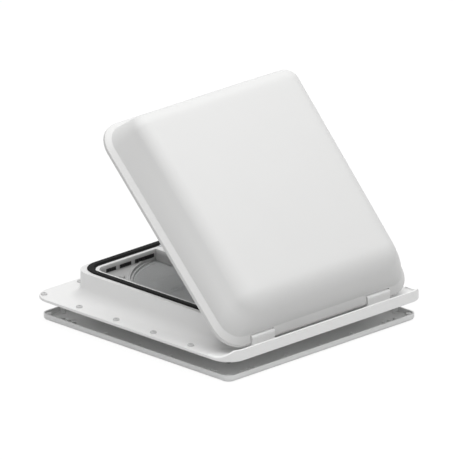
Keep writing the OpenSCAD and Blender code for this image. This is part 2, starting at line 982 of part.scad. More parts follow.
// Soft dome with a flared brim, hinge lugs beside the tabs, and bosses for the lid frame
module lid_shell() {
    boss_r = 4;
    web_h = 2.2 * foot_h;
    color(white)
        on_lid()
            difference() {
                union() {
                    difference() {
                        lid_block(0);
                        lid_block(lid_t);
                    }
                    intersection() {
                        translate([0, 0, eps])
                            lid_block(lid_t / 2);
                        union() {
                            corners(lid_screw_at)
                                translate([0, 0, hinge[2] + ring_top])
                                    cylinder(dome_h, r = boss_r);
                            at_lugs()
                                across(lug_t)
                                    translate([hinge[1], hinge[2]])
                                        polygon([
                                            [-lid_lip, 0.5],
                                            [lug_r, 0.5],
                                            [lug_r + 4, web_h],
                                            [-lid_lip, web_h]
                                        ]);
                        }
                    }
                    at_lugs()
                        translate(hinge)
                            rotate([0, 90, 0])
                                cylinder(lug_t, r = lug_r, center = true);
                }
                at_tabs()
                    tab_sweep();
                at_tabs()
                    translate(hinge)
                        rotate([0, 90, 0])
                            cylinder(tab_w + 4 * lug_t, r = hinge_pin_r, center = true);
                corners(lid_screw_at)
                    translate([0, 0, hinge[2] + ring_top - 1])
                        cylinder(9, r = small_screw_r);
            }
}

// Slope of the lid's inner wall, from its foot to the shoulder's or nose's round
function draft(run, rise, r) = atan2(run, rise) - asin(r / norm([run, rise]));
function inner_draft(reach, r) =
    draft(reach - lid_t, dome_h - r - foot_h, r - lid_t);

// Distance from the dome's foot to the inner wall at the top of the ring
function wall_in(reach, r) = lid_t + (ring_top - foot_h) * tan(inner_draft(reach, r)) + slide_clear;

// Ring over the seal, and a spine that carries the rail
module lid_frame() {
    half = foot_half - max(wall_in(shoulder_in, shoulder_r), wall_in(nose_side, nose_r));
    back = foot_back - wall_in(shoulder_free, shoulder_r);
    front = foot_front + wall_in(nose_in, nose_r);
    color(white)
        on_lid()
            difference() {
                union() {
                    translate([0, 0, hinge[2] + ring_h])
                        linear_extrude(ring_t)
                            difference() {
                                outline(half, front, back, foot_r + 10);
                                rounded_square(ring_in, rim_r + 36);
                            }
                    across(spine_w)
                        spine_section();
                }
                corners(lid_screw_at)
                    translate([0, 0, hinge[2] + ring_h - 1])
                        cylinder(ring_t + 2, r = small_screw_r + run_clear);
                at_rail_screws()
                    cylinder(20, r = small_screw_r, center = true);
            }
}

// Height of a line parallel to the roller's path at y, with the lid shut
function path_z(y, off) = hinge[2] + (y - hinge[1]) * tan(rail_slope) + off / cos(rail_slope);

// Where that line meets a height
function path_y(z, off) = hinge[1] + (z - hinge[2] - off / cos(rail_slope)) / tan(rail_slope);

module spine_section() {
    seat = rail_half + rail_flange + run_clear;
    bottom = hinge[2] + ring_h;
    top = hinge[2] + ring_top;
    knee = path_y(top, seat);
    end = hinge[1] + rail_to + slot_half + rail_wall + 1;
    polygon([
        [-ring_in - 12, bottom],
        [-ring_in - 1, bottom],
        [-ring_in + 2, top],
        [knee, top],
        [end, path_z(end, seat)],
        [end, bottom],
        [end + 8, bottom],
        [end + 8, path_z(end, seat)],
        [end + 3, path_z(end + 3, seat + spine_t)],
        [knee, top + spine_t],
        [-ring_in + 4, top + spine_t],
        [-ring_in - 12, top]
    ]);
}

module lid_screws() {
    color(steel)
        on_lid()
            corners(lid_screw_at)
                translate([0, 0, hinge[2] + ring_h])
                    mirror([0, 0, 1])
                        screw(small_screw_r, ring_t + 7, 2 * small_screw_r, small_screw_r);
}

module hinge_pins() {
    color(steel)
        on_lid()
            at_tabs()
                translate(hinge)
                    rotate([0, 90, 0])
                        cylinder(tab_w + 2 * (swing_clear + lug_t), r = hinge_pin_r, center = true);
}

// Places on the rail's flange, with +Z away from the slot
module at_rail_screws() {
    along_rail_shut()
        for (x = [-1, 1], y = [rail_from + 10, rail_to - 10])
            translate([x * (spine_w / 2 - 3), y, rail_half])
                children();
}

module along_rail_shut() {
    translate(hinge)
        rotate([rail_slope, 0, 0])
            children();
}

// Slotted rail in which the arm's roller runs
module lid_rail() {
    end = slot_half + rail_wall;
    color(pale)
        along_rail()
            difference() {
                union() {
                    across(rail_web) {
                        translate([rail_from, -rail_half])
                            square([rail_to - rail_from, 2 * rail_half + rail_flange / 2]);
                        for (y = [rail_from, rail_to])
                            translate([y, 0])
                                circle(end);
                    }
                    translate([-spine_w / 2, rail_from - end, rail_half])
                        cube([spine_w, rail_to - rail_from + 2 * end, rail_flange]);
                }
                across(2 * rail_web) {
                    translate([rail_from, -slot_half])
                        square([rail_to - rail_from, 2 * slot_half]);
                    for (y = [rail_from, rail_to])
                        translate([y, 0])
                            circle(slot_half);
                }
                for (x = [-1, 1], y = [rail_from + 10, rail_to - 10])
                    translate([x * (spine_w / 2 - 3), y, rail_half - 1])
                        cylinder(rail_flange + 2, r = small_screw_r + run_clear);
            }
}

module rail_screws() {
    color(steel)
        on_lid()
            at_rail_screws()
                mirror([0, 0, 1])
                    screw(small_screw_r, rail_flange + spine_t - 1, 1.6 * small_screw_r, small_screw_r);
}

// Forked arm: two plates and a web that ties them
module lift_arm() {
    hub_r = 7;
    web_from = wheel_r + tooth_up + 4;
    web_to = 44;
    color(steel)
        along_arm()
            difference() {
                union() {
                    for (s = [-1, 1])
                        translate([s * (plate_gap + plate_t) / 2, 0, 0])
                            across(plate_t) {
                                circle(hub_r);
                                translate([0, -plate_h / 2])
                                    square([arm_l, plate_h]);
                                translate([arm_l, 0])
                                    circle(plate_h / 2);
                            }
                    translate([-plate_gap / 2 - 1, web_from, -2])
                        cube([plate_gap + 2, web_to - web_from, 4]);
                }
                rotate([0, 90, 0])
                    cylinder(2 * bar_w, r = shaft_r, center = true);
                translate([0, arm_l, 0])
                    rotate([0, 90, 0])
                        cylinder(2 * bar_w, r = roller_pin_r, center = true);
            }
}

module arm_shaft() {
    color(steel)
        translate(pivot)
            rotate([0, 90, 0])
                cylinder(bar_w, r = shaft_r, center = true);
}

// Wheel with straight teeth, a gap of which faces the worm at rest
module worm_wheel() {
    foot = 0.62 * circular_pitch;
    mid = 0.37 * circular_pitch;
    tip = 0.2 * circular_pitch;
    color(grey)
        translate(pivot)
            difference() {
                union() {
                    across(wheel_w) {
                        circle(wheel_r - tooth_down);
                        for (k = [0:wheel_teeth - 1])
                            rotate(180 + (k + 0.5) * 360 / wheel_teeth)
                                polygon([
                                    [wheel_r - tooth_down - 0.5, -foot / 2],
                                    [wheel_r, -mid / 2],
                                    [wheel_r + tooth_up, -tip / 2],
                                    [wheel_r + tooth_up, tip / 2],
                                    [wheel_r, mid / 2],
                                    [wheel_r - tooth_down - 0.5, foot / 2]
                                ]);
                    }
                    across(plate_gap)
                        circle(shaft_r + 2);
                }
                rotate([0, 90, 0])
                    cylinder(2 * bar_w, r = shaft_r, center = true);
            }
}

module roller_pin() {
    color(steel)
        along_arm()
            translate([0, arm_l, 0])
                rotate([0, 90, 0])
                    cylinder(plate_gap + 2 * plate_t, r = roller_pin_r, center = true);
}

module arm_roller() {
    color(black)
        along_arm()
            translate([0, arm_l, 0])
                rotate([0, 90, 0])
                    difference() {
                        cylinder(roller_w, r = roller_r, center = true);
                        cylinder(2 * roller_w, r = roller_pin_r + run_clear, center = true);
                    }
}

// Spindle with a shoulder under the worm and a square end in the knob
module crank_spindle() {
    shoulder = bar_z + bar_floor + bush_flange_t + slide_clear;
    color(steel)
        translate([0, spindle_at[1], 0])
            difference() {
                union() {
                    translate([0, 0, knob_top])
                        cylinder(collar_h + cover_h - 1 - knob_top, r = spindle_r);
                    translate([0, 0, shoulder])
                        cylinder(worm_bottom - shoulder, r = worm_r - tooth_down);
                    translate([-square_w / 2, -square_w / 2, knob_top - 5])
                        cube([square_w, square_w, 6]);
                }
                translate([0, 0, knob_top - 6])
                    cylinder(10, r = small_screw_r - 0.1);
            }
}

// Section of the single-start worm across its axis
function worm_section() = [
    for (a = [-150:30:180])
        let (tip = 46, foot = 95, t = max(0, min(1, (foot - abs(a)) / (foot - tip))))
            (worm_r - tooth_down + t * (tooth_up + tooth_down)) * [cos(a), sin(a)]
];

module drive_worm() {
    turns = worm_l / circular_pitch;
    color(grey)
        translate([0, spindle_at[1], worm_bottom])
            difference() {
                rotate([0, 0, 90 - 180 * turns])
                    linear_extrude(worm_l, twist = -360 * turns, slices = round(16 * turns), $fn = 16)
                        polygon(worm_section());
                translate([0, 0, -1])
                    cylinder(worm_l + 2, r = spindle_r);
            }
}

// Round knob with a slot for the folded handle and finger hollows round its edge
module crank_knob() {
    hollow_r = 6;
    hollows = 10;
    color(white)
        translate([0, spindle_at[1], 0])
            difference() {
                translate([0, 0, knob_bottom])
                    rotate_extrude()
                        intersection() {
                            square([knob_r, knob_h]);
                            union() {
                                square([knob_r - 3, knob_h]);
                                translate([0, 3])
                                    square([knob_r, knob_h - 6]);
                                for (z = [3, knob_h - 3])
                                    translate([knob_r - 3, z])
                                        circle(3);
                            }
                        }
                for (k = [0:hollows - 1])
                    rotate([0, 0, (k + 0.5) * 360 / hollows])
                        translate([knob_r + hollow_r - 1.5, 0, knob_bottom - 1])
                            cylinder(knob_h + 2, r = hollow_r);
                translate([-handle_w / 2 - handle_clear, -2 * knob_r, knob_bottom - 1])
                    cube([handle_w + 2 * handle_clear, 4 * knob_r, handle_slot + 1]);
                translate([0, handle_pin_at - handle_l, knob_bottom])
                    cylinder(handle_slot + peg_l - 0.5, r = peg_r + 1.9);
                translate([0, handle_pin_at, handle_z])
                    rotate([0, 90, 0])
                        cylinder(4 * knob_r, r = handle_pin_r, center = true);
                translate([-square_w / 2, -square_w / 2, knob_top - 5])
                    cube([square_w, square_w, 6]);
                cylinder(4 * knob_h, r = small_screw_r + run_clear, center = true);
                translate([0, 0, knob_bottom])
                    cylinder(handle_slot + 2, r = 2 * small_screw_r);
            }
}

module knob_screw() {
    color(steel)
        translate([0, spindle_at[1], knob_bottom + handle_slot + 2])
            mirror([0, 0, 1])
                screw(small_screw_r - 0.1, 9, 1.9 * small_screw_r, small_screw_r);
}

module handle_pin() {
    color(steel)
        translate([0, spindle_at[1] + handle_pin_at, handle_z])
            rotate([0, 90, 0])
                cylinder(2 * sqrt(knob_r * knob_r - 20 * 20), r = handle_pin_r, center = true);
}

// Lever that folds out of the knob, with a peg that stands in the knob while it is folded
module crank_handle() {
    color(white)
        translate([0, spindle_at[1] + handle_pin_at, handle_z])
            difference() {
                union() {
                    across(handle_w) {
                        circle(handle_t / 2);
                        translate([-handle_l, -handle_t / 2])
                            square([handle_l, handle_t]);
                    }
                    translate([0, -handle_l, -handle_t / 2])
                        cylinder(handle_t, r = handle_w / 2);
                    translate([0, -handle_l, 0])
                        cylinder(handle_t / 2 + peg_l, r = peg_r);
                }
                rotate([0, 90, 0])
                    cylinder(2 * handle_w, r = handle_pin_r + run_clear, center = true);
            }
}

roof_frame();
rim_seal();
wall_grilles();
flange_screws();
cross_bar();
bar_screws();
gear_cover();
cover_screws();
shaft_bushes();
spindle_bush();
net_frame();
insect_net();
net_screws();
interior_frame();
clamp_screws();
lid_shell();
lid_frame();
lid_screws();
hinge_pins();
lid_rail();
rail_screws();
lift_arm();
arm_shaft();
worm_wheel();
roller_pin();
arm_roller();
crank_spindle();
drive_worm();
crank_knob();
knob_screw();
handle_pin();
crank_handle();
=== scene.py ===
import json
import math

import bmesh
import bpy
from mathutils import Matrix, Vector


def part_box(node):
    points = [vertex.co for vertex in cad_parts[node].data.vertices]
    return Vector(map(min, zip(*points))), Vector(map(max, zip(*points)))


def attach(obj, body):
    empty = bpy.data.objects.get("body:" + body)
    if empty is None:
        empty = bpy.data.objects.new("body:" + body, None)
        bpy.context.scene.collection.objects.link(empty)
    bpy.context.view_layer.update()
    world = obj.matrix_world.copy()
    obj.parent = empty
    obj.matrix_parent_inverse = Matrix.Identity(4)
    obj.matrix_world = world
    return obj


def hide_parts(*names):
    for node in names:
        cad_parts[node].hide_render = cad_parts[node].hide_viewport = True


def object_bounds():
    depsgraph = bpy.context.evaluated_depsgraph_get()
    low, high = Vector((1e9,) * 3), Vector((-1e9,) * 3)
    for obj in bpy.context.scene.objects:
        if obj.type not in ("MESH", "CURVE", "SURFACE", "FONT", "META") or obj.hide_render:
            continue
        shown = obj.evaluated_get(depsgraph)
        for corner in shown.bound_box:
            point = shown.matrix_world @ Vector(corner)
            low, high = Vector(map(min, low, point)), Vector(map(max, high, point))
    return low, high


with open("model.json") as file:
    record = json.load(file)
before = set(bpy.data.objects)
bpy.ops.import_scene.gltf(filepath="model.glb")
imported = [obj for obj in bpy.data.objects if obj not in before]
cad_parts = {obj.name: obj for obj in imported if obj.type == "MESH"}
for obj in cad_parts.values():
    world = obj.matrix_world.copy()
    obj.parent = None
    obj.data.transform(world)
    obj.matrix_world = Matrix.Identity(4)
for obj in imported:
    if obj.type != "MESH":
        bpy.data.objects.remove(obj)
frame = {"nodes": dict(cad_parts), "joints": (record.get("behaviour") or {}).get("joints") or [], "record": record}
cad_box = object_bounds()
nodes = frame["nodes"]
record = frame["record"]
joints = {j["name"]: j for j in frame["joints"]}
mounts = {m["name"]: m for m in record["mounts"]}
body_of = {n: b for b, group in record["behaviour"]["bodies"].items() for n in group}
slot_of = {s["node"]: s["material_slot"] for s in record["subparts"]}

# Pieces are shaped in millimetres and brought to metres when they are done.
MM = Matrix.Scale(0.001, 4)
FROM_M = Matrix.Scale(1000, 4)
CORNERS = [(x, y) for x in (-1, 1) for y in (-1, 1)]


def box_mm(node):
    """Lowest and highest corner of a CAD node, in millimetres."""
    return [Vector(corner) * 1000 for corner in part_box(node)]


# The lid is shaped shut, with heights from its hinge axis, and then swung open.
HINGE = Vector(joints["lid_hinge"]["pos_m"]) * 1000
LID_OPEN = -math.radians(joints["lid_hinge"]["range_deg"][0])
SHUT_TO_OPEN = Matrix.Translation(HINGE) @ Matrix.Rotation(LID_OPEN, 4, "X") @ Matrix.Translation(-HINGE)

# Camera, fitted to the picture: its size and the pixel where the part's origin lies
PICTURE_W, PICTURE_H = 455, 460
ORIGIN_PX = (228.994, 297.264)
FOCAL_PX = 14607.65
AZIMUTH, ELEVATION = math.radians(-44.892), math.radians(19.543)
CAMERA_AWAY = 20.0
SENSOR = 36


def set_camera():
    """Looks at the part as the photograph does, with the part's origin at its pixel."""
    back = Vector((
        math.sin(AZIMUTH) * math.cos(ELEVATION),
        -math.cos(AZIMUTH) * math.cos(ELEVATION),
        math.sin(ELEVATION),
    ))
    right = Vector((math.cos(AZIMUTH), math.sin(AZIMUTH), 0))
    up = back.cross(right)
    data = bpy.data.cameras.new("view_camera")
    data.sensor_width = SENSOR
    data.lens = FOCAL_PX * SENSOR / PICTURE_H
    data.clip_start = 0.1
    data.clip_end = 100
    camera = bpy.data.objects.new("view_camera", data)
    metres_per_px = CAMERA_AWAY / FOCAL_PX
    aside = (ORIGIN_PX[0] - PICTURE_W / 2) * metres_per_px
    below = (ORIGIN_PX[1] - PICTURE_H / 2) * metres_per_px
    place = back * CAMERA_AWAY + up * below - right * aside
    camera.matrix_world = Matrix.Translation(place) @ Matrix((right, up, back)).transposed().to_4x4()
    bpy.context.scene.collection.objects.link(camera)
    bpy.context.scene.camera = camera


# Materials
class Signal:
    """A shader socket that can be added, subtracted and multiplied. a | b is the larger of two."""

    def __init__(self, paint, socket):
        self.paint = paint
        self.socket = socket

    def _math(self, operation, a, b):
        return self.paint.node("ShaderNodeMath", {"operation": operation}, {0: a, 1: b})

    def __add__(self, other):
        return self._math("ADD", self, other)

    __radd__ = __add__

    def __sub__(self, other):
        return self._math("SUBTRACT", self, other)

    def __rsub__(self, other):
        return self._math("SUBTRACT", other, self)

    def __mul__(self, other):
        return self._math("MULTIPLY", self, other)

    __rmul__ = __mul__

    def __or__(self, other):
        return self._math("MAXIMUM", self, other)


class Paint:
    """Builds one node tree."""

    def __init__(self, tree):
        self.tree = tree
        tree.nodes.clear()

    def node(self, kind, settings=None, sockets=None, output=0):
        """Adds a node with its settings, and then its sockets' values or links."""
        made = self.tree.nodes.new(kind)
        for key, value in (settings or {}).items():
            if key == "stops":
                ramp = made.color_ramp
                while len(ramp.elements) < len(value):
                    ramp.elements.new(0.5)
                for element, (stop, shade) in zip(ramp.elements, value):
                    element.position = stop
                    element.color = (shade, shade, shade, 1)
            else:
                setattr(made, key, value)
        for key, value in (sockets or {}).items():
            if isinstance(value, Signal):
                self.tree.links.new(value.socket, made.inputs[key])
            else:
                made.inputs[key].default_value = value
        return Signal(self, made.outputs[output])

    def place(self):
        """Where a point lies on the part, in metres."""
        return self.node("ShaderNodeTexCoord", output="Object")

    def axis(self, k):
        """One coordinate of that place."""
        return self.node("ShaderNodeSeparateXYZ", None, {0: self.place()}, k)

    def noise(self, scale, detail=2, where=None):
        sockets = {"Vector": where or self.place(), "Scale": scale, "Detail": detail}
        return self.node("ShaderNodeTexNoise", None, sockets, "Fac")

    def patches(self, scale, detail, start, end):
        """Noise that is 0 up to one value and 1 from another."""
        stops = [(start, 0), (end, 1)]
        return self.node("ShaderNodeValToRGB", {"stops": stops}, {"Fac": self.noise(scale, detail)})

    def stretched(self, amounts):
        """The place, scaled along each axis."""
        sockets = {"Vector": self.place(), "Scale": amounts}
        return self.node("ShaderNodeMapping", {"vector_type": "POINT"}, sockets)

    def falling(self, value, start, end):
        """1 up to one value, 0 from another and a straight slope between."""
        return self.node("ShaderNodeMapRange", None, {0: value, 1: start, 2: end, 3: 1.0, 4: 0.0})

    def between(self, low, high, share):
        """Mixes two colours. The Mix node's colours are its sockets 6 and 7."""
        sockets = {0: share, 6: low if isinstance(low, Signal) else (*low, 1), 7: (*high, 1)}
        return self.node("ShaderNodeMix", {"data_type": "RGBA"}, sockets, 2)

    def bump(self, height, distance, strength=1.0):
        sockets = {"Height": height, "Distance": distance, "Strength": strength}
        return self.node("ShaderNodeBump", None, sockets)

    def finish(self, constants, varying):
        """Ends the tree in a Principled shader."""
        self.surface(self.node("ShaderNodeBsdfPrincipled", None, {**constants, **varying}))

    def surface(self, shader, output="ShaderNodeOutputMaterial"):
        """Links a shader to the tree's output."""
        out = self.tree.nodes.new(output)
        self.tree.links.new(shader.socket, out.inputs["Surface"])


def new_paint(name):
    """A new material with an empty node tree."""
    material = bpy.data.materials.new(name)
    material.use_nodes = True
    return material, Paint(material.node_tree)


def within(p, half, soft):
    """1 inside a square about the middle and 0 outside it, seen from above."""
    reach = [p.node("ShaderNodeMath", {"operation": "ABSOLUTE"}, {0: p.axis(k)}) for k in (0, 1)]
    return p.falling(reach[0] | reach[1], half, half + soft)


def in_the_well(p):
    """1 inside the opening, below the collar's top, and 0 outside it: where shade is painted in the well."""
    shaded_below, lit_above = 0.034, 0.0405
    well_half, edge = 0.1305, 0.001
    return within(p, well_half, edge) * p.falling(p.axis(2), shaded_below, lit_above)


def moulded_plastic(name, shade, tint, gloss, grain, well_shade=0.0, shine=0.5):
    """Injection moulded plastic: faint flow clouds that darken it by a tint, a fine spark texture, patches
    of wear in its gloss, and painted shade in the well below the lid, in uneven patches."""
    material, p = new_paint(name)
    clouds = p.noise(18, 3)
    spark = p.noise(2600, 1)
    handled = p.noise(55, 4)
    colour = p.between(tuple(c * (1 - tint) for c in shade), shade, clouds)
    if well_shade:
        # Painted shade: the well below the lid is darkened in uneven patches, standing in for the lid's shadow.
        well_shading = in_the_well(p) * (0.75 + 0.5 * p.noise(70, 4))
        colour = p.between(colour, tuple(c * (1 - well_shade) for c in shade), well_shading)
    p.finish(
        {"IOR": 1.46, "Specular IOR Level": shine},
        {
            "Base Color": colour,
            "Roughness": gloss + 0.16 * (handled - 0.5) + 0.05 * (spark - 0.5),
            "Normal": p.bump(spark + 0.4 * clouds, grain),
        },
    )
    return material


def black_rubber():
    """Matt rubber with a dusty bloom in patches."""
    material, p = new_paint("black_rubber")
    bloom = p.patches(90, 4, 0.42, 0.72)
    pores = p.noise(1800, 2)
    p.finish(
        {"Specular IOR Level": 0.14},
        {
            "Base Color": p.between((0.004, 0.004, 0.004), (0.009, 0.009, 0.0088), bloom),
            "Roughness": 0.62 + 0.15 * pores,
            "Normal": p.bump(pores, 0.00012, 0.6),
        },
    )
    return material


def zinc_steel(name, low, high, rough):
    """Zinc plated steel: drawn lines and a cloudy plating."""
    material, p = new_paint(name)
    lines = p.noise(120, 3, p.stretched((1, 14, 14)))
    cloud = p.noise(300, 3)
    p.finish(
        {"Metallic": 1.0},
        {
            "Base Color": p.between(low, high, cloud),
            "Roughness": rough + 0.18 * (lines - 0.5) + 0.1 * (cloud - 0.5),
            "Normal": p.bump(lines, 0.00004, 0.5),
        },
    )
    return material


def lacquered_screw():
    """White lacquer on steel, thin enough to show a little grey in places."""
    material, p = new_paint("white_screw")
    thin = p.patches(700, 3, 0.5, 0.75)
    p.finish(
        {"Coat Roughness": 0.2, "Coat Weight": 0.3},
        {
            "Base Color": p.between((0.62, 0.62, 0.62), (0.48, 0.48, 0.48), thin),
            "Roughness": 0.3 + 0.2 * thin,
            "Normal": p.bump(p.noise(900, 2), 0.00005, 0.5),
        },
    )
    return material


def gauze_strand():
    """Coated glass strand, with a paler core that shows in places."""
    material, p = new_paint("net_cloth")
    worn = p.noise(420, 2)
    p.finish(
        {"IOR": 1.5},
        {
            "Base Color": p.between((0.7, 0.715, 0.715), (0.84, 0.85, 0.85), worn),
            "Roughness": 0.5 + 0.2 * worn,
            "Normal": p.bump(p.noise(5200, 1), 0.00004, 0.6),
        },
    )
    return material


materials = {
    # The frame and the trim carry painted shade in the well below the lid.
    "white_moulding": moulded_plastic(
        "white_moulding", (0.88, 0.88, 0.875), 0.02, 0.42, 0.00003, well_shade=0.44
    ),
    # The lid's white is set darker than the frame's: painted shade, matched to how the lid is lit.
    "white_lid": moulded_plastic("white_lid", (0.715, 0.715, 0.71), 0.02, 0.45, 0.00003, shine=0.2),
    "white_screw": lacquered_screw(),
    "pale_grey": moulded_plastic("pale_grey", (0.86, 0.865, 0.86), 0.03, 0.45, 0.00004, well_shade=0.5),
    "grey_plastic": moulded_plastic("grey_plastic", (0.3, 0.31, 0.315), 0.08, 0.42, 0.00004),
    "black_plastic": moulded_plastic("black_plastic", (0.02, 0.02, 0.02), 0.3, 0.4, 0.00005),
    "black_rubber": black_rubber(),
    "net_cloth": gauze_strand(),
    "steel": zinc_steel("steel", (0.52, 0.53, 0.55), (0.66, 0.67, 0.68), 0.34),
}


# Light and floor
def seen_directly(p):
    """1 for rays that show the background itself or its mirror image, and 0 for light on the object."""
    camera = p.node("ShaderNodeLightPath", output="Is Camera Ray")
    glossy = p.node("ShaderNodeLightPath", output="Is Glossy Ray")
    through = p.node("ShaderNodeLightPath", output="Is Transmission Ray")
    return camera | glossy | through


def set_light():
    """A soft white room and a large softbox above the hinge side."""
    room, white = 0.355, 1.0
    world = bpy.data.worlds.new("studio")
    world.use_nodes = True
    p = Paint(world.node_tree)
    strength = room + (white - room) * seen_directly(p)
    sky = p.node("ShaderNodeBackground", None, {"Color": (1, 1, 1, 1), "Strength": strength})
    p.surface(sky, "ShaderNodeOutputWorld")
    bpy.context.scene.world = world

    lamp = bpy.data.lights.new("softbox", "AREA")
    lamp.shape = "SQUARE"
    lamp.size = 3
    lamp.energy = 59.5
    softbox = bpy.data.objects.new("softbox", lamp)
    place = Vector((-0.12, -0.38, 2.15))
    softbox.matrix_world = Matrix.Translation(place) @ place.to_track_quat("Z", "Y").to_matrix().to_4x4()
    bpy.context.scene.collection.objects.link(softbox)


def set_floor():
    """A white floor that keeps the shadow, is plain below the opening and isn't seen from below."""
    size, gap = 9, 0.0004
    opening_half, opening_edge = 0.14, 0.03
    bpy.ops.object.select_all(action="DESELECT")
    bpy.ops.mesh.primitive_plane_add(size=size, location=(0, 0, cad_box[0][2] - gap))
    floor = bpy.context.object
    floor.name = "floor"
    bpy.ops.object.transform_apply(location=True, rotation=True, scale=True)
    material, p = new_paint("floor_white")
    plain = p.node("ShaderNodeBsdfDiffuse", None, {"Color": (0.7, 0.7, 0.7, 1)})
    shadowed = p.node("ShaderNodeBsdfDiffuse", None, {"Color": (0.14, 0.14, 0.14, 1)})
    glow = p.node("ShaderNodeEmission", None, {"Color": (1, 1, 1, 1), "Strength": 0.9})
    shown = p.node("ShaderNodeAddShader", None, {0: glow, 1: shadowed})
    open_floor = 1 - within(p, opening_half, opening_edge)
    above = p.node("ShaderNodeMixShader", None, {0: seen_directly(p) * open_floor, 1: plain, 2: shown})
    below = p.node("ShaderNodeBsdfTransparent")
    from_below = p.node("ShaderNodeNewGeometry", output="Backfacing")
    p.surface(p.node("ShaderNodeMixShader", None, {0: from_below, 1: above, 2: below}))
    floor.data.materials.append(material)


# Hand tools
def let_go():
    """Leaves edit mode and selects nothing."""
    if bpy.context.object and bpy.context.object.mode != "OBJECT":
        bpy.ops.object.mode_set(mode="OBJECT")
    bpy.ops.object.select_all(action="DESELECT")


def take_up(piece):
    """Selects one piece and nothing else."""
    let_go()
    piece.select_set(True)
    bpy.context.view_layer.objects.active = piece


def open_mesh(piece, kind="EDGE"):
    """Opens one piece in edit mode."""
    take_up(piece)
    bpy.ops.object.mode_set(mode="EDIT")
    bpy.ops.mesh.select_mode(type=kind)


def close_mesh():
    """Leaves edit mode."""
    bpy.ops.object.mode_set(mode="OBJECT")


def pick_edges(piece, test):
    """Selects the edges whose two ends pass a test, in edit mode."""
    mesh = bmesh.from_edit_mesh(piece.data)
    bpy.ops.mesh.select_all(action="DESELECT")
    mesh.edges.ensure_lookup_table()
    for e in mesh.edges:
        e.select_set(test(e.verts[0].co, e.verts[1].co))
    bmesh.update_edit_mesh(piece.data)


def face_outwards():
    """Points every face of the open mesh outwards."""
    bpy.ops.mesh.select_all(action="SELECT")
    bpy.ops.mesh.normals_make_consistent(inside=False)


def settle(piece):
    """Puts a new object's place, turn and size into its mesh."""
    take_up(piece)
    bpy.ops.object.transform_apply(location=True, rotation=True, scale=True)
    return piece


def block(low, high):
    """A box between two corners."""
    let_go()
    middle = [(a + b) / 2 for a, b in zip(low, high)]
    bpy.ops.mesh.primitive_cube_add(size=1, location=middle)
    piece = bpy.context.object
    piece.scale = [b - a for a, b in zip(low, high)]
    return settle(piece)


def rod(radius, low, high, sides=32):
    """A round bar between two points."""
    let_go()
    low, high = Vector(low), Vector(high)
    bpy.ops.mesh.primitive_cylinder_add(
        vertices=sides,
        radius=radius,
        depth=(high - low).length,
        location=(low + high) / 2,
        rotation=(high - low).to_track_quat("Z", "Y").to_euler(),
    )
    return settle(bpy.context.object)


def disc(points):
    """A flat face with the given corners, from a circle with as many."""
    let_go()
    bpy.ops.mesh.primitive_circle_add(vertices=len(points), radius=10, fill_type="NGON")
    piece = bpy.context.object
    for v, point in zip(piece.data.vertices, points):
        v.co = point
    return piece


def round_edges(piece, width, segments=2, shortest=0.0, crisp=None, angle=35):
    """Rounds every edge sharper than an angle, apart from the short ones round small holes
    and those that a test leaves crisp."""
    open_mesh(piece)
    bpy.ops.mesh.select_all(action="DESELECT")
    mesh = bmesh.from_edit_mesh(piece.data)
    for e in mesh.edges:
        sharp = len(e.link_faces) == 2 and e.calc_face_angle(0) > math.radians(angle)
        left = crisp is not None and crisp((e.verts[0].co + e.verts[1].co) / 2)
        e.select_set(sharp and e.calc_length() > shortest and not left)
    bmesh.update_edit_mesh(piece.data)
    bpy.ops.mesh.bevel(offset=width, segments=segments, affect="EDGES", clamp_overlap=False)
    close_mesh()
    return piece


def flat_faces_lead(piece):
    """Lets the broad faces set the shading next to a rounded edge."""
    take_up(piece)
    weighted = piece.modifiers.new("lead", "WEIGHTED_NORMAL")
    weighted.mode = "FACE_AREA"
    weighted.weight = 90
    weighted.keep_sharp = True
    bpy.ops.object.modifier_apply(modifier=weighted.name)


def join(pieces):
    """Makes one object of several, under the first one's name."""
    let_go()
    for piece in pieces:
        piece.select_set(True)
    bpy.context.view_layer.objects.active = pieces[0]
    bpy.ops.object.join()
    return bpy.context.object


def trim(piece, tool, operation="DIFFERENCE"):
    """Cuts a piece with a tool, or adds the tool to it, and removes the tool."""
    take_up(piece)
    boolean = piece.modifiers.new("trim", "BOOLEAN")
    boolean.operation = operation
    boolean.solver = "EXACT"
    boolean.object = tool
    bpy.ops.object.modifier_apply(modifier=boolean.name)
    bpy.data.objects.remove(tool)
    return piece


def copy_mesh(name, data):
    """A new object with its own copy of a mesh."""
    piece = bpy.data.objects.new(name, data.copy())
    bpy.context.scene.collection.objects.link(piece)
    return piece


def fit(piece, name, node, smooth_angle):
    """Brings a finished piece to metres and puts it in a CAD node's place."""
    piece.name = name
    piece.data.name = name
    piece.data.transform(MM)
    piece.data.materials.clear()
    piece.data.materials.append(materials[slot_of[node]])
    take_up(piece)
    bpy.ops.object.shade_smooth_by_angle(angle=math.radians(smooth_angle))
    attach(piece, body_of[node])
    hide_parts(node)


# Lid: its corner rounds as (x, y, radius, height), with the free side at +y and the nose over the hinge
LID_WALL = 3
FREE_SHOULDER = (135.5, 149.1, 22.4, 35.5)
NOSE_SHOULDER = (123, -118.9, 39, 19)
LID_TOP = NOSE_SHOULDER[2] + NOSE_SHOULDER[3]
NOSE_FULL = (139, -127.9, 31, 25.5)
FREE_FOOT = (144, 146.6, 29, 9.5)
NOSE_FOOT = (144, -136.5, 29, 12)
RIM_R = 37
NOSE_RIM_Y = -138.5
NOSE_RIM_RISE = 1.2
BRIM_H = 4.5
# Hinge: lugs of the dome at both sides of each tab's middle, and the room that the dome leaves a tab
LUG_W = 6
LUG_OUT = 25.5
LUG_R = 6
PIN_BORE_R = 2.5
TAB_ROOM = 45
TAB_X = box_mm("hinge_pins")[1].x - LUG_OUT - LUG_W / 2
# Screws of the lid frame, in bosses of the dome, with the height of their seat when it is shut
LID_SCREW_HEAD_R = 3
LID_SCREW_AT = box_mm("lid_screws")[1].x - LID_SCREW_HEAD_R
LID_SCREW_SEAT = 43.3


def level(free, nose):
    """One ring of the lid, from its corners at +x."""
    return [free, (-free[0], *free[1:]), (-nose[0], *nose[1:]), nose]


